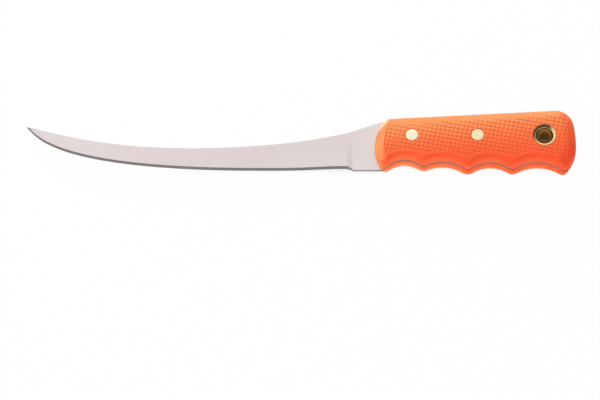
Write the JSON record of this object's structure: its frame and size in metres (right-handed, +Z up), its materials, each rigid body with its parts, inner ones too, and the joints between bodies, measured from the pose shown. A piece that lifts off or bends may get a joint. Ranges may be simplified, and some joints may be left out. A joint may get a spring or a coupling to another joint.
{
  "type": "fillet knife",
  "caption": "Full-tang fillet knife with an upswept flexible blade, finger-grooved checkered grip scales, flush rivets and a flared lanyard tube.",
  "frame": {"origin": "under the middle of the knife's overall length and width, on the plane of the right scale's flat side, on which the knife lies", "axes": "+X from the blade's tip to the butt, +Y from the cutting edge towards the spine, +Z up out of the left side of the grip"},
  "size_m": [0.3766, 0.0437, 0.022],
  "materials": {
    "steel": "satin",
    "grip": "matte moulded elastomer",
    "rivet": "ground flush",
    "tube": "polished"
  },
  "bodies": {
    "root": {"blade": "steel", "left_scale": "grip", "right_scale": "grip", "front_rivet_socket": "rivet", "front_rivet_pin": "rivet", "rear_rivet_socket": "rivet", "rear_rivet_pin": "rivet", "lanyard_tube": "tube"}
  },
  "joints": []
}
